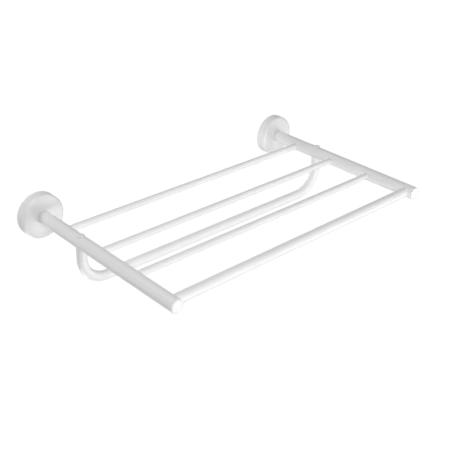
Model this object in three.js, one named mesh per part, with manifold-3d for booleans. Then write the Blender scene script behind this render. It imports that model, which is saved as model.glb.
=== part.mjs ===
// Wall-mounted towel shelf: two round rosettes carry two tubular arms, three thin rods and a
// thicker front rod make the deck between the arms, and a U-shaped towel rail hangs below.
//
// Millimetres, +Z up. The wall is the plane y = 0 and the shelf stands out from it towards -Y.
// +X is to the right for somebody facing the wall. The origin lies on the wall, midway between
// the two rosettes, at the height of the arms' axes. "Depth" below is the distance from the wall.

import * as THREE from "three";
import { mergeVertices } from "three/addons/utils/BufferGeometryUtils.js";
import Module from "manifold-3d";

const wasm = await Module();
wasm.setup();

// ---------------------------------------------------------------- driving dimensions

const ARM_SPACING = 390; // between the two arms' axes
const SHELF_DEPTH = 257; // wall to the front of the arms' end caps
const GAP = 0.3; // clearance between neighbouring pieces

const ARM_RADIUS = 8;
const TUBE_WALL = 1.5; // arms, front rod and towel rail

const ROSETTE_RADIUS = 27.5;
const ROSETTE_DEPTH = 14.4;
const ROSETTE_FILLET = 3.8;
const ROSETTE_WALL = 2.5;

const WALL_PLATE_THICKNESS = 5;
const WALL_PLATE_BACK_RADIUS = 22.4; // the rim widens towards the front, so the set screw draws in
const WALL_PLATE_FRONT_RADIUS = 24;
const WALL_SLOT_WIDTH = 5.2;
const WALL_SLOT_LENGTH = 9;
const WALL_SLOT_OFFSET = 14;

const THIN_ROD_RADIUS = 4;
const THIN_ROD_DEPTHS = { thin_rod_back: 56.5, thin_rod_middle: 121, thin_rod_front: 183.5 };

const FRONT_ROD_RADIUS = 6;
const FRONT_ROD_DEPTH = 245;

const RAIL_RADIUS = 6;
const RAIL_DEPTH = 89.5;
const RAIL_DROP = 55; // arm axis down to the rail's axis
const RAIL_BEND_RADIUS = 33; // of the tube's centre line
const RAIL_LEG_TOP = 1.2; // above the arm's axis: the legs end inside the arms

const END_CAP_FLANGE = 2.2;
const END_CAP_BEVEL = 1.2;
const END_CAP_SPIGOT = 3;

const SET_SCREW_RADIUS = 2; // M4
const SET_SCREW_SOCKET = 1.15; // hexagon socket, centre to corner
const SOCKET_DEPTH = 1.8;

const ROOT_BOLT_RADIUS = 3; // M6
const ROOT_BOLT_HEAD_RADIUS = 5;
const ROOT_BOLT_HEAD = 4.2;
const ROOT_BOLT_LENGTH = 16;
const ROOT_BOLT_SOCKET = 2.8;
const ROOT_WASHER_RADIUS = 5.5;
const ROOT_WASHER_THICKNESS = 1.5;
const ROOT_PLUG_LENGTH = 16;

const RAIL_SCREW_RADIUS = 2; // M4
const RAIL_SCREW_LENGTH = 18; // below the seat
const RAIL_SCREW_HEAD_RADIUS = 4.4;
const RAIL_SCREW_HEAD = 1.9;
const RAIL_SCREW_SEAT = 7.2; // height of the spot face above the arm's axis
const RAIL_SCREW_SOCKET = 1.4;

const CORE_TOP = 4.5; // how far the turned cores reach past the arm's axis
const RAIL_CORE_LENGTH = 22;
const ROD_CORE_LENGTH = 20;
const CORE_GROOVE_DEPTH = 0.9;
const CORE_GROOVE_HALF_WIDTH = 2.2;

const ARM_SIDES = 32; // facets round each kind of piece
const ROSETTE_SIDES = 40;
const ROD_SIDES = 20;
const SCREW_SIDES = 16;
const BEND_STEPS = 6;

// ---------------------------------------------------------------- worked-out dimensions

const ARM_BORE = ARM_RADIUS - TUBE_WALL;
const RAIL_BORE = RAIL_RADIUS - TUBE_WALL;
const ARM_X = ARM_SPACING / 2;
const ARM_ROOT = ROSETTE_DEPTH + GAP;
const ARM_TIP = SHELF_DEPTH - END_CAP_FLANGE - GAP;
const CORE_RADIUS = RAIL_BORE - GAP;
const ROSETTE_BORE = ROSETTE_RADIUS - ROSETTE_WALL;
const ROSETTE_FACE_BACK = ROSETTE_DEPTH - ROSETTE_WALL;
const SET_SCREW_DEPTH = 3.2; // of the rosette's set screw, level with the wall plate's rim

// ---------------------------------------------------------------- materials

const powderCoat = new THREE.MeshStandardMaterial({ color: 0xf3f3f1, roughness: 0.42, metalness: 0 });
const zincPlate = new THREE.MeshStandardMaterial({ color: 0xc3c7cb, roughness: 0.38, metalness: 1 });
const steel = new THREE.MeshStandardMaterial({ color: 0x9a9da1, roughness: 0.3, metalness: 1 });

// ---------------------------------------------------------------- solids

/** A closed geometry as a manifold-3d solid. */
function toSolid(geometry) {
  const bare = new THREE.BufferGeometry();
  bare.setAttribute("position", geometry.getAttribute("position"));
  bare.setIndex(geometry.getIndex());
  const merged = mergeVertices(bare, 1e-3);
  return new wasm.Manifold(
    new wasm.Mesh({
      numProp: 3,
      vertProperties: merged.getAttribute("position").array,
      triVerts: new Uint32Array(merged.getIndex().array),
    }),
  );
}

/** A manifold-3d solid as a geometry with normals. */
function toGeometry(solid) {
  const mesh = solid.getMesh();
  const geometry = new THREE.BufferGeometry();
  geometry.setAttribute("position", new THREE.BufferAttribute(mesh.vertProperties, 3));
  geometry.setIndex(new THREE.BufferAttribute(mesh.triVerts, 1));
  geometry.computeVertexNormals();
  return geometry;
}

/** The body with every tool cut out of it. */
function cut(body, tools) {
  return toGeometry(tools.reduce((left, tool) => left.subtract(toSolid(tool)), toSolid(body)));
}

/** Turns a geometry made along +Y so that it lies along +X or +Z, or leaves it. */
function along(axis, geometry) {
  if (axis === "x") geometry.rotateZ(-Math.PI / 2);
  if (axis === "z") geometry.rotateX(Math.PI / 2);
  return geometry;
}

/** A turned piece. The profile lists [radius, position along the axis] from low to high. */
function turned(axis, sides, profile) {
  const points = profile.map(([radius, position]) => new THREE.Vector2(radius, position));
  return along(axis, new THREE.LatheGeometry(points, sides));
}

/** A plain tube between two positions on its axis. */
function tube(axis, sides, outer, inner, low, high) {
  return turned(axis, sides, [
    [inner, low],
    [outer, low],
    [outer, high],
    [inner, high],
    [inner, low],
  ]);
}

/** A drill: its flats, not its corners, lie on the given radius. */
function drill(axis, radius, low, high, sides = ROD_SIDES) {
  const corner = radius / Math.cos(Math.PI / sides);
  return turned(axis, sides, [
    [0, low],
    [corner, low],
    [corner, high],
    [0, high],
  ]);
}

/** Points on a quarter circle, as [radius, position], from the side of a piece round to its face. */
function filletPoints(radius, face, fillet, steps) {
  return Array.from({ length: steps + 1 }, (_, i) => {
    const angle = (i / steps) * (Math.PI / 2);
    return [
      radius - fillet + fillet * Math.cos(angle),
      face - fillet + fillet * Math.sin(angle),
    ];
  });
}

/** Depths from the wall grow towards -Y, so a profile in depths is flipped end for end. */
function turnedFromWall(sides, profile) {
  return turned("y", sides, profile.map(([radius, depth]) => [radius, -depth]).reverse());
}

// ---------------------------------------------------------------- wall fixing

/** Round plate screwed to the wall. Its dovetail rim is what the rosette's set screw grips. */
function wallPlate() {
  const disc = turnedFromWall(ROSETTE_SIDES, [
    [0, 0],
    [WALL_PLATE_BACK_RADIUS, 0],
    [WALL_PLATE_FRONT_RADIUS, WALL_PLATE_THICKNESS],
    [0, WALL_PLATE_THICKNESS],
  ]);
  const half = (WALL_SLOT_LENGTH - WALL_SLOT_WIDTH) / 2;
  const slots = [-1, 1].map((side) => {
    const outline = new THREE.Shape();
    outline.absarc(half, 0, WALL_SLOT_WIDTH / 2, -Math.PI / 2, Math.PI / 2);
    outline.absarc(-half, 0, WALL_SLOT_WIDTH / 2, Math.PI / 2, Math.PI * 1.5);
    const slot = new THREE.ExtrudeGeometry(outline, {
      depth: WALL_PLATE_THICKNESS * 2,
      bevelEnabled: false,
      curveSegments: 4,
    });
    slot.rotateX(Math.PI / 2);
    return slot.translate(0, WALL_PLATE_THICKNESS / 2, side * WALL_SLOT_OFFSET);
  });
  return cut(disc, slots);
}

/** Deep round cup over the wall plate, with a bolt hole in its face and a set screw hole below. */
function rosette() {
  const cup = turnedFromWall(ROSETTE_SIDES, [
    [ROSETTE_BORE, 0],
    [ROSETTE_RADIUS, 0],
    ...filletPoints(ROSETTE_RADIUS, ROSETTE_DEPTH, ROSETTE_FILLET, 4),
    [ROOT_BOLT_RADIUS + GAP, ROSETTE_DEPTH],
    [ROOT_BOLT_RADIUS + GAP, ROSETTE_FACE_BACK],
    ...filletPoints(ROSETTE_BORE, ROSETTE_FACE_BACK, ROSETTE_FILLET - 1, 2).reverse(),
    [ROSETTE_BORE, 0],
  ]);
  const hole = drill("z", SET_SCREW_RADIUS + GAP, -ROSETTE_RADIUS - 1, -ROSETTE_BORE + 1, SCREW_SIDES);
  return cut(cup, [hole.translate(0, -SET_SCREW_DEPTH, 0)]);
}

/** M4 set screw with a hexagon socket, pointing up: from its socket end to its tip. */
function setScrew(low, tip) {
  const point = 0.8;
  const body = turned("z", SCREW_SIDES, [
    [0, low],
    [SET_SCREW_RADIUS, low],
    [SET_SCREW_RADIUS, tip - point],
    [SET_SCREW_RADIUS - point, tip],
    [0, tip],
  ]);
  return cut(body, [drill("z", SET_SCREW_SOCKET, low - 1, low + SOCKET_DEPTH, 6)]);
}

/** Grips the dovetail rim of the wall plate from below. */
function rosetteSetScrew() {
  const rimSlope = (WALL_PLATE_FRONT_RADIUS - WALL_PLATE_BACK_RADIUS) / WALL_PLATE_THICKNESS;
  const rimRadius = WALL_PLATE_BACK_RADIUS + rimSlope * (SET_SCREW_DEPTH + SET_SCREW_RADIUS);
  return setScrew(-ROSETTE_RADIUS + GAP, -rimRadius - GAP).translate(0, -SET_SCREW_DEPTH, 0);
}

// ---------------------------------------------------------------- arm

/** Holds the arm to the rosette from inside the cup. */
function rootBolt() {
  const seat = ROSETTE_FACE_BACK - ROOT_WASHER_THICKNESS - 2 * GAP;
  const back = seat - ROOT_BOLT_HEAD;
  const body = turnedFromWall(SCREW_SIDES, [
    [0, back],
    [ROOT_BOLT_HEAD_RADIUS, back],
    [ROOT_BOLT_HEAD_RADIUS, seat],
    [ROOT_BOLT_RADIUS, seat],
    [ROOT_BOLT_RADIUS, seat + ROOT_BOLT_LENGTH],
    [0, seat + ROOT_BOLT_LENGTH],
  ]);
  return cut(body, [drill("y", ROOT_BOLT_SOCKET, -back - SOCKET_DEPTH, -back + 1, 6)]);
}

function rootWasher() {
  const front = ROSETTE_FACE_BACK - GAP;
  const bore = ROOT_BOLT_RADIUS + GAP;
  return tube("y", SCREW_SIDES, ROOT_WASHER_RADIUS, bore, -front, -front + ROOT_WASHER_THICKNESS);
}

/** Threaded plug fixed in the root of the arm tube. */
function rootPlug() {
  const low = -ARM_ROOT - ROOT_PLUG_LENGTH;
  return tube("y", ARM_SIDES, ARM_BORE - GAP, ROOT_BOLT_RADIUS + GAP, low, -ARM_ROOT);
}

/** Arm tube, drilled on its inner side for the rods, below for the rail and its lock, on top for
 * the rail screw. inward is +1 when the other arm lies towards +X, else -1. */
function arm(inward) {
  const reach = ARM_RADIUS + 1;
  const sideHole = (radius, depth) => {
    const low = inward > 0 ? 0 : -reach;
    return drill("x", radius + GAP, low, low + reach).translate(0, -depth, 0);
  };
  const pipe = tube("y", ARM_SIDES, ARM_RADIUS, ARM_BORE, -ARM_TIP, -ARM_ROOT);
  return cut(pipe, [
    ...Object.values(THIN_ROD_DEPTHS).map((depth) => sideHole(THIN_ROD_RADIUS, depth)),
    sideHole(FRONT_ROD_RADIUS, FRONT_ROD_DEPTH),
    drill("z", RAIL_RADIUS + GAP, -reach, 0).translate(0, -RAIL_DEPTH, 0),
    drill("z", RAIL_SCREW_RADIUS + GAP, 0, reach, SCREW_SIDES).translate(0, -RAIL_DEPTH, 0),
    drill("z", RAIL_SCREW_HEAD_RADIUS + GAP, RAIL_SCREW_SEAT, reach).translate(0, -RAIL_DEPTH, 0),
    drill("z", SET_SCREW_RADIUS + GAP, -reach, 0, SCREW_SIDES).translate(0, -FRONT_ROD_DEPTH, 0),
  ]);
}

/** Bevelled cap pressed into the front end of the arm tube. */
function armEndCap() {
  const seat = SHELF_DEPTH - END_CAP_FLANGE;
  return turnedFromWall(ARM_SIDES, [
    [0, seat - END_CAP_SPIGOT],
    [ARM_BORE - GAP, seat - END_CAP_SPIGOT],
    [ARM_BORE - GAP, seat],
    [ARM_RADIUS, seat],
    [ARM_RADIUS, SHELF_DEPTH - END_CAP_BEVEL],
    [ARM_RADIUS - END_CAP_BEVEL, SHELF_DEPTH],
    [0, SHELF_DEPTH],
  ]);
}

// ---------------------------------------------------------------- rods

/** Solid rod whose ends sit loose in the two arms and can't escape past their far walls. */
function thinRod() {
  const half = ARM_X + CORE_TOP;
  const chamfer = 0.5;
  return turned("x", ROD_SIDES, [
    [0, -half],
    [THIN_ROD_RADIUS - chamfer, -half],
    [THIN_ROD_RADIUS, -half + chamfer],
    [THIN_ROD_RADIUS, half - chamfer],
    [THIN_ROD_RADIUS - chamfer, half],
    [0, half],
  ]);
}

/** Tube whose ends enter the arms just far enough to close their holes. */
function frontRod() {
  const half = ARM_X - SET_SCREW_RADIUS - 2 * GAP;
  return tube("x", ROD_SIDES, FRONT_ROD_RADIUS, FRONT_ROD_RADIUS - TUBE_WALL, -half, half);
}

/** Turned core fixed in the end of the front rod; the arm's set screw locks in its groove. */
function frontRodCore() {
  const waist = CORE_RADIUS - CORE_GROOVE_DEPTH;
  return turned("x", ROD_SIDES, [
    [0, CORE_TOP - ROD_CORE_LENGTH],
    [CORE_RADIUS, CORE_TOP - ROD_CORE_LENGTH],
    [CORE_RADIUS, -CORE_GROOVE_HALF_WIDTH - CORE_GROOVE_DEPTH],
    [waist, -CORE_GROOVE_HALF_WIDTH],
    [waist, CORE_GROOVE_HALF_WIDTH],
    [CORE_RADIUS, CORE_GROOVE_HALF_WIDTH + CORE_GROOVE_DEPTH],
    [CORE_RADIUS, CORE_TOP],
    [0, CORE_TOP],
  ]);
}

/** Goes up through the underside of the arm into the groove of the front rod's core. */
function frontRodSetScrew() {
  const tip = -(CORE_RADIUS - CORE_GROOVE_DEPTH) - GAP;
  return setScrew(-ARM_RADIUS + GAP, tip);
}

// ---------------------------------------------------------------- towel rail

/** Centre line of the rail: down one leg, round a bend, across, round a bend and up. */
class RailLine extends THREE.Curve {
  static steps = 2 * BEND_STEPS + 3;

  getPoint(t, target = new THREE.Vector3()) {
    const left = this.leftHalf(Math.min(t, 1 - t) * RailLine.steps);
    return target.set(t > 0.5 ? -left.x : left.x, 0, left.z);
  }

  /** Position after a number of steps: one for the leg, then the bend's, then the run. */
  leftHalf(step) {
    const bendX = RAIL_BEND_RADIUS - ARM_X;
    const bendZ = RAIL_BEND_RADIUS - RAIL_DROP;
    if (step < 1) return { x: -ARM_X, z: THREE.MathUtils.lerp(RAIL_LEG_TOP, bendZ, step) };
    if (step > 1 + BEND_STEPS) {
      return { x: bendX * (1 - 2 * (step - 1 - BEND_STEPS)), z: -RAIL_DROP };
    }
    const angle = ((step - 1) / BEND_STEPS) * (Math.PI / 2);
    return {
      x: bendX - RAIL_BEND_RADIUS * Math.cos(angle),
      z: bendZ - RAIL_BEND_RADIUS * Math.sin(angle),
    };
  }

  /** Stations are even in t, not in length, so each straight is a single step. */
  getUtoTmapping(u) {
    return u;
  }
}

function towelRail() {
  const ring = new THREE.Shape();
  ring.absarc(0, 0, RAIL_RADIUS, 0, 2 * Math.PI);
  const bore = new THREE.Path();
  bore.absarc(0, 0, RAIL_BORE, 0, 2 * Math.PI, true);
  ring.holes.push(bore);
  return new THREE.ExtrudeGeometry(ring, {
    extrudePath: new RailLine(),
    steps: RailLine.steps,
    curveSegments: ROD_SIDES / 2,
    bevelEnabled: false,
  });
}

/** Threaded core fixed in the top of a rail leg; it bears on the inside of the arm. */
function railCore() {
  const bore = RAIL_SCREW_RADIUS + GAP;
  return tube("z", ROD_SIDES, CORE_RADIUS, bore, CORE_TOP - RAIL_CORE_LENGTH, CORE_TOP);
}

/** Button-head screw down through the arm into the rail's core. */
function railScrew() {
  const seat = RAIL_SCREW_SEAT + GAP;
  const top = seat + RAIL_SCREW_HEAD;
  const edge = 0.6;
  const body = turned("z", ROD_SIDES, [
    [0, seat - RAIL_SCREW_LENGTH],
    [RAIL_SCREW_RADIUS, seat - RAIL_SCREW_LENGTH],
    [RAIL_SCREW_RADIUS, seat],
    [RAIL_SCREW_HEAD_RADIUS, seat],
    [RAIL_SCREW_HEAD_RADIUS, top - edge],
    [RAIL_SCREW_HEAD_RADIUS - edge, top],
    [0, top],
  ]);
  return cut(body, [drill("z", RAIL_SCREW_SOCKET, top - SOCKET_DEPTH, top + 1, 6)]);
}

// ---------------------------------------------------------------- assembly

const shelf = new THREE.Group();

function add(group, name, geometry, material, depth = 0) {
  const mesh = new THREE.Mesh(geometry, material);
  mesh.name = name;
  mesh.position.y = -depth;
  group.add(mesh);
  return mesh;
}

for (const [side, x] of [
  ["left", -ARM_X],
  ["right", ARM_X],
]) {
  const bracket = new THREE.Group();
  bracket.position.x = x;
  shelf.add(bracket);
  const inward = -Math.sign(x);
  add(bracket, `${side}_wall_plate`, wallPlate(), zincPlate);
  add(bracket, `${side}_rosette`, rosette(), powderCoat);
  add(bracket, `${side}_rosette_set_screw`, rosetteSetScrew(), steel);
  add(bracket, `${side}_root_bolt`, rootBolt(), steel);
  add(bracket, `${side}_root_washer`, rootWasher(), zincPlate);
  add(bracket, `${side}_root_plug`, rootPlug(), zincPlate);
  add(bracket, `${side}_arm`, arm(inward), powderCoat);
  add(bracket, `${side}_arm_end_cap`, armEndCap(), powderCoat);
  add(bracket, `${side}_rail_screw`, railScrew(), powderCoat, RAIL_DEPTH);
  add(bracket, `${side}_rail_core`, railCore(), zincPlate, RAIL_DEPTH);
  const core = add(bracket, `${side}_front_rod_core`, frontRodCore(), zincPlate, FRONT_ROD_DEPTH);
  core.rotation.z = inward > 0 ? Math.PI : 0;
  add(bracket, `${side}_front_rod_set_screw`, frontRodSetScrew(), steel, FRONT_ROD_DEPTH);
}

for (const [name, depth] of Object.entries(THIN_ROD_DEPTHS)) {
  add(shelf, name, thinRod(), powderCoat, depth);
}
add(shelf, "front_rod", frontRod(), powderCoat, FRONT_ROD_DEPTH);
add(shelf, "towel_rail", towelRail(), powderCoat, RAIL_DEPTH);

export default shelf;
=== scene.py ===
"""Looks of the wall towel shelf: white powder coat, zinc-plated wall plates, steel screws.

Metres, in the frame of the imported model: +Z up, the wall is y = 0 and the shelf stands out to -Y.
Every piece that shows is turned or swept again from smooth outlines, at the place and size of its
CAD node. The pieces inside the rosettes and tubes stay CAD nodes and get their metal.
"""

import math

import bmesh
import bpy
from mathutils import Matrix, Vector


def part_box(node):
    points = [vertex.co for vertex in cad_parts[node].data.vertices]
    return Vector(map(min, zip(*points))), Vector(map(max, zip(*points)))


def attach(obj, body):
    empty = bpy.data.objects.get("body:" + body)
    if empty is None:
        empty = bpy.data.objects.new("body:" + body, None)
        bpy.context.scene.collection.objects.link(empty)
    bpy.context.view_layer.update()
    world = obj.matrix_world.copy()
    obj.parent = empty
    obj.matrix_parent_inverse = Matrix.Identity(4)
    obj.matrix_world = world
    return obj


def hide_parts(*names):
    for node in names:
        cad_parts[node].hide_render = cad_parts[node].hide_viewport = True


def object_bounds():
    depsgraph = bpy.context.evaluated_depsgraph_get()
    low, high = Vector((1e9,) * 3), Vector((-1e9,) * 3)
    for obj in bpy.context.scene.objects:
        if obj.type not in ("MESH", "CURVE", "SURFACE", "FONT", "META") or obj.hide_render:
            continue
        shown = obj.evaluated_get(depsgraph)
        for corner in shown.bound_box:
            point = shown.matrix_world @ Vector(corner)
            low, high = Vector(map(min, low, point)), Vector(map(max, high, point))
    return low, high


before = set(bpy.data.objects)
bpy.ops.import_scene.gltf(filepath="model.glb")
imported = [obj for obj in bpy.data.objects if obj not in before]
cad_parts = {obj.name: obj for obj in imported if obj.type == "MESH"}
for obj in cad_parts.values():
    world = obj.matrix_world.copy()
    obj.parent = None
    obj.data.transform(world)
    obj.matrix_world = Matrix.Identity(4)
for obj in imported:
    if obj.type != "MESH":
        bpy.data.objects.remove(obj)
cad_low, cad_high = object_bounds()

MM = 0.001
SIDES = ("left", "right")
X, Y, Z = Vector((1, 0, 0)), Vector((0, 1, 0)), Vector((0, 0, 1))

# ---------------------------------------------------------------- sizes the frame doesn't give

TUBE_WALL = 1.5 * MM
HAIRLINE = 0.03 * MM  # between two coated pieces that fit tightly
EDGE = 0.35 * MM  # rounding of a coated edge
CRISP_EDGE = 0.15 * MM  # rounding where the arm meets its cap, and at a screw's point
ARM_ROOT_EDGE = 0.1 * MM
BORE_EDGE = 0.2 * MM
ROD_EDGE = 0.5 * MM

ROSETTE_WALL = 2.5 * MM
ROSETTE_FILLET = 3.8 * MM
ROSETTE_INNER_FILLET = 2.8 * MM
ROOT_HOLE = 3.3 * MM  # radius

CAP_CLEARANCE = 0.1 * MM  # round the cap's spigot, in the arm
CAP_FLANGE = 2.4 * MM
CAP_BEVEL = 1.2 * MM
CAP_DOME = 0.25 * MM  # drop of the cap's face at its bevel
CAP_DOME_HALFWAY = 0.05 * MM  # and halfway out
CAP_DOME_FILLET = 2 * MM

RAIL_BEND = 33 * MM
SPOT_FACE = 7.2 * MM  # above the arm's axis: where the rail screw sits
SPOT_FACE_MARGIN = 0.3 * MM  # round the screw's head
SCREW_SHANK = 2 * MM  # radius
SCREW_CLEARANCE = 0.15 * MM
SCREW_HEAD_RIM = 0.2 * MM  # fillet under the rail screw's head
SCREW_HEAD_CROWN = 1.1 * MM  # and round its top
SET_SCREW_POINT = 0.8 * MM
SET_SCREW_FOOT_EDGE = 0.25 * MM

RAIL_SCREW_SOCKET = 1.25 * MM  # centre to corner
SET_SCREW_SOCKET = 1.15 * MM  # centre to corner
SOCKET_DEPTH = 1.2 * MM
SOCKET_CONE_RADIUS = 1.1  # of centre to corner
SOCKET_CONE_DEPTH = 0.25  # of centre to corner

PLATE_TAPER = 1.6 * MM
PLATE_BACK_EDGE = 0.3 * MM
PLATE_RIM_EDGE = 0.4 * MM
SLOT_WIDTH = 5.2 * MM
SLOT_LENGTH = 9 * MM
SLOT_OFFSET = 14 * MM
SLOT_FLARE = 0.4 * MM

FINE = 96  # facets round the large pieces
MEDIUM = 64  # round thin rods, the rail and drilled holes
SMALL = 40  # round small screws and slots
BEND_STEPS = 28  # along each bend of the rail
TOOL_TURN = 0.3  # of a facet
TOOL_LEAD = 1 * MM  # how far outside the work a drill or slot tool starts
SOCKET_LEAD = 0.3  # the same for a socket's tools, of centre to corner

SHARP_ANGLE = math.radians(32)
WALL_SLACK = 1e-3  # of the radius: how far within a round wall a vertex may lie
WALL_FACING = 0.995  # least cosine between a wall's face and straight out


def middle(node):
    """Centre of a CAD node's box."""
    low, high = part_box(node)
    return (low + high) / 2


def extent(node):
    """Size of a CAD node's box."""
    low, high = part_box(node)
    return high - low


ARM_X = abs(middle("left_arm").x)

# ---------------------------------------------------------------- outlines and lines


def heading(azimuth, elevation):
    """Unit vector from degrees: azimuth 0 is to the front, elevation is above level."""
    azimuth, elevation = math.radians(azimuth), math.radians(elevation)
    flat = math.cos(elevation)
    return Vector((math.sin(azimuth) * flat, -math.cos(azimuth) * flat, math.sin(elevation)))


def rounded(corners, steps=6):
    """Outline through corners (radius, place, fillet), with an arc of that fillet at each."""
    outline = []
    for i, (radius, place, fillet) in enumerate(corners):
        here = Vector((radius, place))
        if fillet == 0:
            outline.append(here)
            continue
        before = (Vector(corners[i - 1][:2]) - here).normalized()
        after = (Vector(corners[(i + 1) % len(corners)][:2]) - here).normalized()
        half = before.angle(after) / 2
        centre = here + (before + after).normalized() * (fillet / math.sin(half))
        reach = fillet / math.tan(half)
        start = here + before * reach - centre
        turn = -start.angle_signed(here + after * reach - centre)
        outline += [centre + Matrix.Rotation(turn * k / steps, 2) @ start for k in range(steps + 1)]
    return outline


def straight(origin, direction):
    """Straight axis: at(s) gives its point at distance s and the two directions across it."""
    across = (Y if direction.z else Z).cross(direction).normalized()
    over = direction.cross(across)
    return lambda s: (origin + direction * s, across, over)


# ---------------------------------------------------------------- meshes


def new_piece(name, bm):
    """The bmesh as an object in the scene, with its faces turned outwards."""
    bmesh.ops.recalc_face_normals(bm, faces=bm.faces)
    mesh = bpy.data.meshes.new(name)
    bm.to_mesh(mesh)
    bm.free()
    piece = bpy.data.objects.new(name, mesh)
    bpy.context.scene.collection.objects.link(piece)
    return piece


def bridge(bm, lower, upper):
    """Faces between two rings; either may be a single pole."""
    sides = max(len(lower), len(upper))
    for k in range(sides):
        corners = [lower[k % len(lower)], lower[(k + 1) % len(lower)]]
        corners += [upper[(k + 1) % len(upper)], upper[k % len(upper)]]
        bm.faces.new(dict.fromkeys(corners))


def swept(name, at, outline, sides, closed=False, turned=0):
    """Solid of revolution along a line, from an outline of (radius, distance) points.

    An open outline starts and ends on the axis, and a closed one comes back to its start. turned
    is a share of one facet: tools are turned by it so that their edges miss those of the work.
    """
    bm = bmesh.new()
    rings = []
    for radius, distance in outline:
        point, across, over = at(distance)
        if radius == 0:
            rings.append([bm.verts.new(point)])
            continue
        turns = [math.tau * (k + turned) / sides for k in range(sides)]
        spokes = [across * math.cos(turn) + over * math.sin(turn) for turn in turns]
        rings.append([bm.verts.new(point + spoke * radius) for spoke in spokes])
    for lower, upper in zip(rings, rings[1:]):
        bridge(bm, lower, upper)
    if closed:
        bridge(bm, rings[-1], rings[0])
    return new_piece(name, bm)


def cut(piece, tools):
    """Cuts the tools out of the piece, one after another."""
    for tool in tools:
        boolean = piece.modifiers.new("cut", "BOOLEAN")
        boolean.operation = "DIFFERENCE"
        boolean.solver = "EXACT"
        boolean.object = tool
        depsgraph = bpy.context.evaluated_depsgraph_get()
        piece.data = bpy.data.meshes.new_from_object(piece.evaluated_get(depsgraph))
        piece.modifiers.clear()
        bpy.data.objects.remove(tool)
    return piece


def drill(mouth, inward, radius, depth):
    """Tool for a round hole, from just outside its mouth to its depth."""
    outline = [(0, -TOOL_LEAD), (radius, -TOOL_LEAD), (radius, depth), (0, depth)]
    return swept("drill", straight(mouth, inward), outline, MEDIUM, turned=TOOL_TURN)


def key_socket(mouth, inward, size):
    """Tools for a hexagon socket and the cone at its mouth. size is centre to corner."""
    at = straight(mouth, inward)
    lead, rim, sink = SOCKET_LEAD * size, SOCKET_CONE_RADIUS * size, SOCKET_CONE_DEPTH * size
    cone = [(0, -lead), (rim + lead, -lead), (rim - sink, sink), (0, sink)]
    prism = [(0, -lead), (size, -lead), (size, SOCKET_DEPTH), (0, SOCKET_DEPTH)]
    return [swept("cone", at, cone, SMALL, turned=TOOL_TURN), swept("prism", at, prism, 6)]


def slot_tool(centre, outward, along, width, length, depth):
    """Tool for a round-ended slot that flares a little at both faces."""
    bm = bmesh.new()
    across = outward.cross(along)
    straight_half = (length - width) / 2
    levels = [(SLOT_FLARE + TOOL_LEAD, TOOL_LEAD), (0, -SLOT_FLARE)]
    levels += [(0, SLOT_FLARE - depth), (SLOT_FLARE + TOOL_LEAD, -depth - TOOL_LEAD)]
    rings = []
    for grow, level in levels:
        ring = []
        for k in range(SMALL):
            turn = math.tau * (k + 0.5) / SMALL
            shift = math.copysign(straight_half, math.cos(turn))
            flat = along * (shift + (width / 2 + grow) * math.cos(turn))
            flat += across * ((width / 2 + grow) * math.sin(turn))
            ring.append(bm.verts.new(centre + flat + outward * level))
        rings.append(ring)
    for lower, upper in zip(rings, rings[1:]):
        bridge(bm, lower, upper)
    bm.faces.new(rings[0])
    bm.faces.new(rings[-1])
    return new_piece("slot", bm)


def shade(piece, tube=None):
    """Smooth shading that breaks at sharp edges.

    tube is (point on the axis, direction, radius) of a round wall: where the mesh lies on it, the
    normals point straight out, so the long faces round a drilled hole shade as evenly as the rest.
    """
    mesh = piece.data
    mesh.shade_smooth()
    mesh.set_sharp_from_angle(angle=SHARP_ANGLE)
    weighted = piece.modifiers.new("even normals", "WEIGHTED_NORMAL")
    weighted.keep_sharp = True
    depsgraph = bpy.context.evaluated_depsgraph_get()
    piece.data = bpy.data.meshes.new_from_object(piece.evaluated_get(depsgraph))
    piece.modifiers.clear()
    if tube is None:
        return piece
    mesh = piece.data
    origin, direction, radius = tube
    normals = [Vector(corner.vector) for corner in mesh.corner_normals]
    for face in mesh.polygons:
        for corner in face.loop_indices:
            spoke = mesh.vertices[mesh.loops[corner].vertex_index].co - origin
            spoke -= direction * spoke.dot(direction)
            on_wall = spoke.length > radius * (math.cos(math.pi / FINE) - WALL_SLACK)
            if on_wall and face.normal.dot(spoke.normalized()) > WALL_FACING:
                normals[corner] = spoke.normalized()
    mesh.normals_split_custom_set(normals)
    return piece


# ---------------------------------------------------------------- materials

NOISE_LOW, NOISE_HIGH = 0.3, 0.7  # most of a noise texture's values lie between these
WAVE_RADIANS = 20  # that a wave texture runs through in a metre, at scale 1


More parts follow.
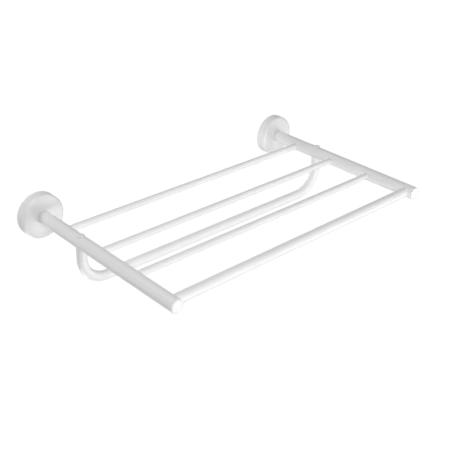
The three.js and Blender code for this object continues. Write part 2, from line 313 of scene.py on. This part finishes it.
class Finish:
    """A procedural Principled material under construction, with its record slot."""

    def __init__(self, name, slot):
        self.material = bpy.data.materials.new(name)
        self.material.use_nodes = True
        self.slot = slot
        self.tree = self.material.node_tree
        self.shader = self.tree.nodes["Principled BSDF"]
        self.metres = self.node("ShaderNodeTexCoord").outputs["Object"]

    def node(self, kind, **settings):
        """A new node of that kind, with its properties set."""
        made = self.tree.nodes.new(kind)
        for key, value in settings.items():
            setattr(made, key, value)
        return made

    def link(self, source, target):
        self.tree.links.new(source, target)

    def noise(self, scale, detail=2, roughness=0.5, stretch=None):
        """Noise in the object's own metres; stretch squeezes the pattern along each axis."""
        made = self.node("ShaderNodeTexNoise")
        made.inputs["Scale"].default_value = scale
        made.inputs["Detail"].default_value = detail
        made.inputs["Roughness"].default_value = roughness
        pattern = self.metres
        if stretch:
            mapping = self.node("ShaderNodeMapping")
            mapping.inputs["Scale"].default_value = stretch
            self.link(pattern, mapping.inputs["Vector"])
            pattern = mapping.outputs["Vector"]
        self.link(pattern, made.inputs["Vector"])
        return made.outputs["Fac"]

    def roughness(self, value, low, high):
        """Roughness between low and high, following a noise."""
        made = self.node("ShaderNodeMapRange")
        made.inputs["From Min"].default_value = NOISE_LOW
        made.inputs["From Max"].default_value = NOISE_HIGH
        made.inputs["To Min"].default_value = low
        made.inputs["To Max"].default_value = high
        self.link(value, made.inputs["Value"])
        self.link(made.outputs["Result"], self.shader.inputs["Roughness"])

    def tint(self, value, dark, light):
        """Base colour between dark and light, following a noise."""
        ramp = self.node("ShaderNodeValToRGB")
        ramp.color_ramp.elements[0].position = NOISE_LOW
        ramp.color_ramp.elements[0].color = (*dark, 1)
        ramp.color_ramp.elements[1].position = NOISE_HIGH
        ramp.color_ramp.elements[1].color = (*light, 1)
        self.link(value, ramp.inputs["Fac"])
        self.link(ramp.outputs["Color"], self.shader.inputs["Base Color"])

    def bump(self, height, distance, strength=1.0, under=None):
        """Bumps of that height in metres, on top of the bumps under them."""
        made = self.node("ShaderNodeBump")
        made.inputs["Strength"].default_value = strength
        made.inputs["Distance"].default_value = distance
        self.link(height, made.inputs["Height"])
        if under:
            self.link(under, made.inputs["Normal"])
        self.link(made.outputs["Normal"], self.shader.inputs["Normal"])
        return made.outputs["Normal"]


def powder_coat():
    """Satin white polyester powder: faint orange peel, finer grain on top, tiny drifts of gloss."""
    finish = Finish("white_powder_coat", "powder_coat")
    drift = finish.noise(scale=9, detail=3)
    finish.tint(drift, dark=(0.875, 0.875, 0.87), light=(0.905, 0.905, 0.9))
    finish.roughness(finish.noise(scale=60, detail=4), low=0.33, high=0.41)
    peel = finish.bump(finish.noise(scale=420, detail=1), distance=0.012 * MM)
    grain = finish.noise(scale=2600, detail=3, roughness=0.6)
    finish.bump(grain, distance=0.004 * MM, under=peel)
    finish.shader.inputs["IOR"].default_value = 1.52
    return finish


def turned_rings(finish, spacing):
    """Height of the rings that a lathe leaves round the arms' axes."""
    mirrored = finish.node("ShaderNodeVectorMath", operation="ABSOLUTE")
    finish.link(finish.metres, mirrored.inputs[0])
    centred = finish.node("ShaderNodeVectorMath", operation="SUBTRACT")
    centred.inputs[1].default_value = (ARM_X, 0, 0)
    finish.link(mirrored.outputs["Vector"], centred.inputs[0])
    flat = finish.node("ShaderNodeVectorMath", operation="MULTIPLY")
    flat.inputs[1].default_value = (1, 0, 1)
    finish.link(centred.outputs["Vector"], flat.inputs[0])
    wave = finish.node("ShaderNodeTexWave", wave_type="RINGS", rings_direction="SPHERICAL")
    wave.inputs["Scale"].default_value = math.tau / (WAVE_RADIANS * spacing)
    wave.inputs["Distortion"].default_value = 0.6
    finish.link(flat.outputs["Vector"], wave.inputs["Vector"])
    return wave.outputs["Fac"]


def zinc_plate():
    """Bright zinc on turned steel: cloudy grey-blue tint, lathe rings, light scratches."""
    finish = Finish("zinc_plating", "zinc_plated_steel")
    clouds = finish.noise(scale=45, detail=5, roughness=0.6)
    finish.tint(clouds, dark=(0.55, 0.57, 0.6), light=(0.74, 0.75, 0.74))
    finish.roughness(finish.noise(scale=180, detail=4), low=0.24, high=0.42)
    rings = finish.bump(turned_rings(finish, spacing=2.2 * MM), distance=0.004 * MM)
    scratches = finish.noise(scale=900, stretch=(1, 1, 0.06))
    finish.bump(scratches, distance=0.006 * MM, strength=0.6, under=rings)
    finish.shader.inputs["Metallic"].default_value = 1
    return finish


def machined_steel():
    """Plain stainless screws: darker, with fine machining grain."""
    finish = Finish("machined_steel", "fastener_steel")
    clouds = finish.noise(scale=300, detail=3)
    finish.tint(clouds, dark=(0.36, 0.36, 0.37), light=(0.5, 0.5, 0.51))
    finish.roughness(finish.noise(scale=1200, detail=3), low=0.22, high=0.36)
    finish.bump(finish.noise(scale=3000, stretch=(1, 1, 0.2)), distance=0.003 * MM)
    finish.shader.inputs["Metallic"].default_value = 1
    return finish


COAT = powder_coat()
ZINC = zinc_plate()
STEEL = machined_steel()


def place(piece, node, finish):
    """Gives the piece its finish and lets it ride in place of its CAD node."""
    piece.data.name = piece.name
    piece.data.materials.clear()
    piece.data.materials.append(finish.material)
    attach(piece, "root")
    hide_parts(node)
    return piece


# ---------------------------------------------------------------- wall fixing


def wall_plate(side):
    """Zinc-plated disc with a dovetail rim and two screw slots."""
    node = f"{side}_wall_plate"
    low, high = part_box(node)
    centre = middle(node)
    radius, thickness = extent(node).x / 2, high.y - low.y
    back = Vector((centre.x, high.y, centre.z))
    disc = swept(f"{node}_turned", straight(back, -Y), rounded([
        (0, 0, 0),
        (radius - PLATE_TAPER, 0, PLATE_BACK_EDGE),
        (radius, thickness, PLATE_RIM_EDGE),
        (0, thickness, 0),
    ]), FINE)
    slots = [
        slot_tool(back + Z * offset, Y, X, SLOT_WIDTH, SLOT_LENGTH, thickness)
        for offset in (-SLOT_OFFSET, SLOT_OFFSET)
    ]
    return place(shade(cut(disc, slots)), node, ZINC)


def rosette(side):
    """Deep cup with a soft front edge, a bolt hole in its face and a set screw hole below."""
    node = f"{side}_rosette"
    low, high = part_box(node)
    centre, radius, depth = middle(node), extent(node).x / 2, high.y - low.y
    back = Vector((centre.x, high.y, centre.z))
    bore = radius - ROSETTE_WALL
    floor = depth - ROSETTE_WALL
    cup = swept(f"{node}_cup", straight(back, -Y), rounded([
        (bore, 0, EDGE),
        (radius, 0, EDGE),
        (radius, depth, ROSETTE_FILLET),
        (ROOT_HOLE, depth, EDGE),
        (ROOT_HOLE, floor, EDGE),
        (bore, floor, ROSETTE_INNER_FILLET),
    ], steps=12), 2 * FINE, closed=True)
    screw = middle(f"{side}_rosette_set_screw")
    mouth = Vector((screw.x, screw.y, -radius))
    hole = drill(mouth, Z, SCREW_SHANK + SCREW_CLEARANCE, ROSETTE_WALL + TOOL_LEAD)
    return place(shade(cut(cup, [hole]), tube=(back, Y, radius)), node, COAT)


def set_screw(node):
    """Set screw with a hexagon socket at its lower end and a cone point at the top."""
    low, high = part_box(node)
    centre, length = middle(node), high.z - low.z
    foot = Vector((centre.x, centre.y, low.z))
    screw = swept(f"{node}_turned", straight(foot, Z), rounded([
        (0, 0, 0),
        (SCREW_SHANK, 0, SET_SCREW_FOOT_EDGE),
        (SCREW_SHANK, length - SET_SCREW_POINT, CRISP_EDGE),
        (SCREW_SHANK - SET_SCREW_POINT, length, CRISP_EDGE),
        (0, length, 0),
    ], steps=4), SMALL)
    return place(shade(cut(screw, key_socket(foot, Z, SET_SCREW_SOCKET))), node, STEEL)


# ---------------------------------------------------------------- arms


def arm(side):
    """Arm tube with its holes for the rods, the rail's leg, the rail screw and the set screw."""
    node = f"{side}_arm"
    centre, radius = middle(node), extent(node).x / 2
    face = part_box(f"{side}_rosette")[0].y
    root = Vector((centre.x, face - HAIRLINE, centre.z))
    length = root.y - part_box(node)[0].y
    bore = radius - TUBE_WALL
    pipe = swept(f"{node}_tube", straight(root, -Y), rounded([
        (bore, 0, ARM_ROOT_EDGE),
        (radius, 0, ARM_ROOT_EDGE),
        (radius, length, CRISP_EDGE),
        (bore, length, BORE_EDGE),
    ]), FINE, closed=True)
    outward = X * math.copysign(1, centre.x)

    def hole(piece, inward, size, depth=radius):
        """Tool for a hole in the tube's wall, as far along the arm as the piece is."""
        mouth = Vector((centre.x, middle(piece).y, centre.z)) - inward * radius
        return drill(mouth, inward, size, depth)

    rail_screw = f"{side}_rail_screw"
    head = extent(rail_screw).x / 2
    holes = [hole(rod, outward, extent(rod).z / 2 + HAIRLINE) for rod in (*THIN_RODS, "front_rod")]
    holes += [
        hole("towel_rail", Z, extent("towel_rail").y / 2 + HAIRLINE),
        hole(rail_screw, -Z, SCREW_SHANK + SCREW_CLEARANCE),
        hole(rail_screw, -Z, head + SPOT_FACE_MARGIN, depth=radius - SPOT_FACE),
        hole("front_rod", Z, SCREW_SHANK + SCREW_CLEARANCE),
    ]
    return place(shade(cut(pipe, holes), tube=(root, Y, radius)), node, COAT)


def end_cap(side):
    """Cap with a spigot, a bevelled rim and a very slightly domed face."""
    node = f"{side}_arm_end_cap"
    low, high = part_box(node)
    centre, radius, length = middle(node), extent(node).x / 2, high.y - low.y
    inner = Vector((centre.x, high.y, centre.z))
    spigot = radius - TUBE_WALL - CAP_CLEARANCE
    cap = swept(f"{node}_turned", straight(inner, -Y), rounded([
        (0, 0, 0),
        (spigot, 0, EDGE),
        (spigot, length - CAP_FLANGE, 0),
        (radius, length - CAP_FLANGE, CRISP_EDGE),
        (radius, length - CAP_BEVEL, EDGE),
        (radius - CAP_BEVEL, length - CAP_DOME, EDGE),
        (radius / 2, length - CAP_DOME_HALFWAY, CAP_DOME_FILLET),
        (0, length, 0),
    ]), FINE)
    return place(shade(cap), node, COAT)


def rail_screw(side):
    """Low button-head screw that stands on the spot face on top of the arm."""
    node = f"{side}_rail_screw"
    low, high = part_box(node)
    centre, radius = middle(node), extent(node).x / 2
    tip = Vector((centre.x, centre.y, low.z))
    seat, top = SPOT_FACE + HAIRLINE - low.z, high.z - low.z
    screw = swept(f"{node}_turned", straight(tip, Z), rounded([
        (0, 0, 0),
        (SCREW_SHANK, 0, EDGE),
        (SCREW_SHANK, seat, 0),
        (radius, seat, SCREW_HEAD_RIM),
        (radius, top, SCREW_HEAD_CROWN),
        (0, top, 0),
    ], steps=10), MEDIUM)
    crown = Vector((centre.x, centre.y, high.z))
    return place(shade(cut(screw, key_socket(crown, -Z, RAIL_SCREW_SOCKET))), node, COAT)


# ---------------------------------------------------------------- rods and rail

THIN_RODS = ("thin_rod_back", "thin_rod_middle", "thin_rod_front")


def thin_rod(node):
    """Solid rod with rounded ends."""
    low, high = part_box(node)
    centre, radius, length = middle(node), extent(node).z / 2, high.x - low.x
    rod = swept(f"{node}_bar", straight(Vector((low.x, centre.y, centre.z)), X), rounded([
        (0, 0, 0),
        (radius, 0, ROD_EDGE),
        (radius, length, ROD_EDGE),
        (0, length, 0),
    ]), MEDIUM)
    return place(shade(rod), node, COAT)


def front_rod():
    """Straight tube, thicker than the other rods."""
    low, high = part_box("front_rod")
    centre, radius, length = middle("front_rod"), extent("front_rod").z / 2, high.x - low.x
    bore = radius - TUBE_WALL
    rod = swept("front_rod_tube", straight(Vector((low.x, centre.y, centre.z)), X), rounded([
        (bore, 0, BORE_EDGE),
        (radius, 0, EDGE),
        (radius, length, EDGE),
        (bore, length, BORE_EDGE),
    ]), FINE, closed=True)
    return place(shade(rod), "front_rod", COAT)


def towel_rail():
    """U-shaped tube: down one leg, round a bend, across, round a bend and up."""
    low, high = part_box("towel_rail")
    radius = (high.y - low.y) / 2
    y = middle("towel_rail").y
    bend_z = low.z + radius + RAIL_BEND
    bend_x = high.x - radius - RAIL_BEND
    leg, run, arc = high.z - bend_z, 2 * bend_x, RAIL_BEND * math.pi / 2
    total = 2 * leg + 2 * arc + run

    def at(s):
        """Point of the tube's centre line and two directions across it, as straight() gives."""
        from_end = min(s, total - s)
        side = -1 if s < total / 2 else 1
        if from_end < leg:
            point, ahead = Vector((side * (bend_x + RAIL_BEND), y, high.z - from_end)), Z * side
        elif from_end < leg + arc:
            turn = (from_end - leg) / RAIL_BEND
            corner = Vector((side * bend_x, y, bend_z))
            out, down = X * side * math.cos(turn), Z * math.sin(turn)
            point = corner + (out - down) * RAIL_BEND
            ahead = X * math.sin(turn) + Z * side * math.cos(turn)
        else:
            point, ahead = Vector((s - total / 2, y, bend_z - RAIL_BEND)), X
        return point, Y, ahead.cross(Y)

    bends = [leg + arc * k / BEND_STEPS for k in range(BEND_STEPS + 1)]
    stations = bends + [total - s for s in reversed(bends)]
    bore = radius - TUBE_WALL
    corners = [(bore, 0, BORE_EDGE), (radius, 0, EDGE)]
    corners += [(radius, s, 0) for s in stations]
    corners += [(radius, total, EDGE), (bore, total, BORE_EDGE)]
    corners += [(bore, s, 0) for s in reversed(stations)]
    rail = swept("towel_rail_tube", at, rounded(corners), MEDIUM, closed=True)
    return place(shade(rail), "towel_rail", COAT)


# ---------------------------------------------------------------- assembly

INNER_PIECES = {
    "root_bolt": STEEL,
    "root_washer": ZINC,
    "root_plug": ZINC,
    "rail_core": ZINC,
    "front_rod_core": ZINC,
}

for side in SIDES:
    wall_plate(side)
    rosette(side)
    set_screw(f"{side}_rosette_set_screw")
    arm(side)
    end_cap(side)
    rail_screw(side)
    set_screw(f"{side}_front_rod_set_screw")
    for name, finish in INNER_PIECES.items():
        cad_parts[f"{side}_{name}"].material_slots[0].material = finish.material

for rod in THIN_RODS:
    thin_rod(rod)
front_rod()
towel_rail()

# ---------------------------------------------------------------- camera

CAMERA_PLACE = Vector((-0.6311, -0.7777, 0.4642))
CAMERA_HEADING = heading(-43.6, 28.67)  # from what it looks at
CAMERA_ROLL = math.radians(1.82)
LENS = 66.72  # mm, on the usual 36 mm sensor


def add_camera():
    """Camera at the photograph's viewpoint, as fitted to its straight edges and round outlines."""
    data = bpy.data.cameras.new("camera")
    data.lens = LENS
    camera = bpy.data.objects.new("camera", data)
    bpy.context.scene.collection.objects.link(camera)
    right = Z.cross(CAMERA_HEADING).normalized()
    up = CAMERA_HEADING.cross(right)
    level = Matrix((right, up, CAMERA_HEADING)).transposed()
    rolled = level @ Matrix.Rotation(CAMERA_ROLL, 3, "Z")
    camera.matrix_world = Matrix.Translation(CAMERA_PLACE) @ rolled.to_4x4()
    bpy.context.scene.camera = camera


add_camera()

# ---------------------------------------------------------------- stage

FILL = 0.3  # strength of the even white light from all round
# Round lamps: azimuth and elevation as heading() takes them, distance and size in metres, watts.
LAMPS = (
    (-120, -60, 1.0, 0.5, 3.5),
    (180, 0, 1.0, 0.5, 3.5),
    (-120, 60, 1.0, 0.5, 2.7),
    (15, -15, 2.4, 0.45, 9.6),
    (0, -30, 1.0, 0.5, 2.2),
    (0, 0, 2.0, 1.0, 7.2),
    (-30, 30, 1.0, 0.5, 2.0),
    (45, -15, 1.2, 0.22, 1.4),
    (-120, 0, 1.0, 0.5, 1.1),
    (60, 30, 1.0, 0.5, 0.6),
)

FLOOR_LEVEL = -1.25
STAGE_RADIUS = 8
STAGE_HEIGHT = 7
STAGE_COVE = 3
STAGE_STEPS = 24  # in the arc of a cove
WHITE_UP_TO = FLOOR_LEVEL + 0.4
GREY_FROM = 0.5
WHITE, GREY = 1.02, 0.72  # glow of the backdrop below and above those levels


def add_lamps():
    """Soft lamps all round, aimed at the middle of the shelf."""
    aim = (cad_low + cad_high) / 2
    for number, (azimuth, elevation, distance, size, watts) in enumerate(LAMPS, 1):
        data = bpy.data.lights.new(f"soft_lamp_{number}", "AREA")
        data.shape = "DISK"
        data.size = size
        data.energy = watts
        lamp = bpy.data.objects.new(data.name, data)
        direction = heading(azimuth, elevation)
        lamp.location = aim + direction * distance
        lamp.rotation_mode = "QUATERNION"
        lamp.rotation_quaternion = direction.to_track_quat("Z", "Y")
        lamp.visible_camera = False
        bpy.context.scene.collection.objects.link(lamp)


def add_backdrop():
    """Seamless white floor that curves up all round to grey.

    Only the camera sees it, so it throws no light on the shelf.
    """
    shell = swept("floor", straight(Z * FLOOR_LEVEL, Z), rounded([
        (0, 0, 0),
        (STAGE_RADIUS, 0, STAGE_COVE),
        (STAGE_RADIUS, STAGE_HEIGHT, STAGE_COVE),
        (0, STAGE_HEIGHT, 0),
    ], steps=STAGE_STEPS), MEDIUM)
    shell.data.shade_smooth()
    paper = bpy.data.materials.new("backdrop_paper")
    paper.use_nodes = True
    nodes, links = paper.node_tree.nodes, paper.node_tree.links
    nodes.clear()
    height = nodes.new("ShaderNodeSeparateXYZ")
    links.new(nodes.new("ShaderNodeTexCoord").outputs["Object"], height.inputs[0])
    falloff = nodes.new("ShaderNodeMapRange")
    falloff.inputs["From Min"].default_value = WHITE_UP_TO
    falloff.inputs["From Max"].default_value = GREY_FROM
    falloff.inputs["To Min"].default_value = WHITE
    falloff.inputs["To Max"].default_value = GREY
    links.new(height.outputs["Z"], falloff.inputs["Value"])
    glow = nodes.new("ShaderNodeEmission")
    links.new(falloff.outputs["Result"], glow.inputs["Strength"])
    links.new(glow.outputs[0], nodes.new("ShaderNodeOutputMaterial").inputs["Surface"])
    shell.data.materials.append(paper)
    shell.visible_diffuse = shell.visible_glossy = shell.visible_shadow = False


def add_fill():
    """Even light from the world, and colours shown as they are."""
    world = bpy.data.worlds.new("studio")
    world.use_nodes = True
    background = world.node_tree.nodes["Background"]
    background.inputs["Color"].default_value = (1, 1, 1, 1)
    background.inputs["Strength"].default_value = FILL
    bpy.context.scene.world = world
    bpy.context.scene.view_settings.view_transform = "Standard"


add_lamps()
add_backdrop()
add_fill()
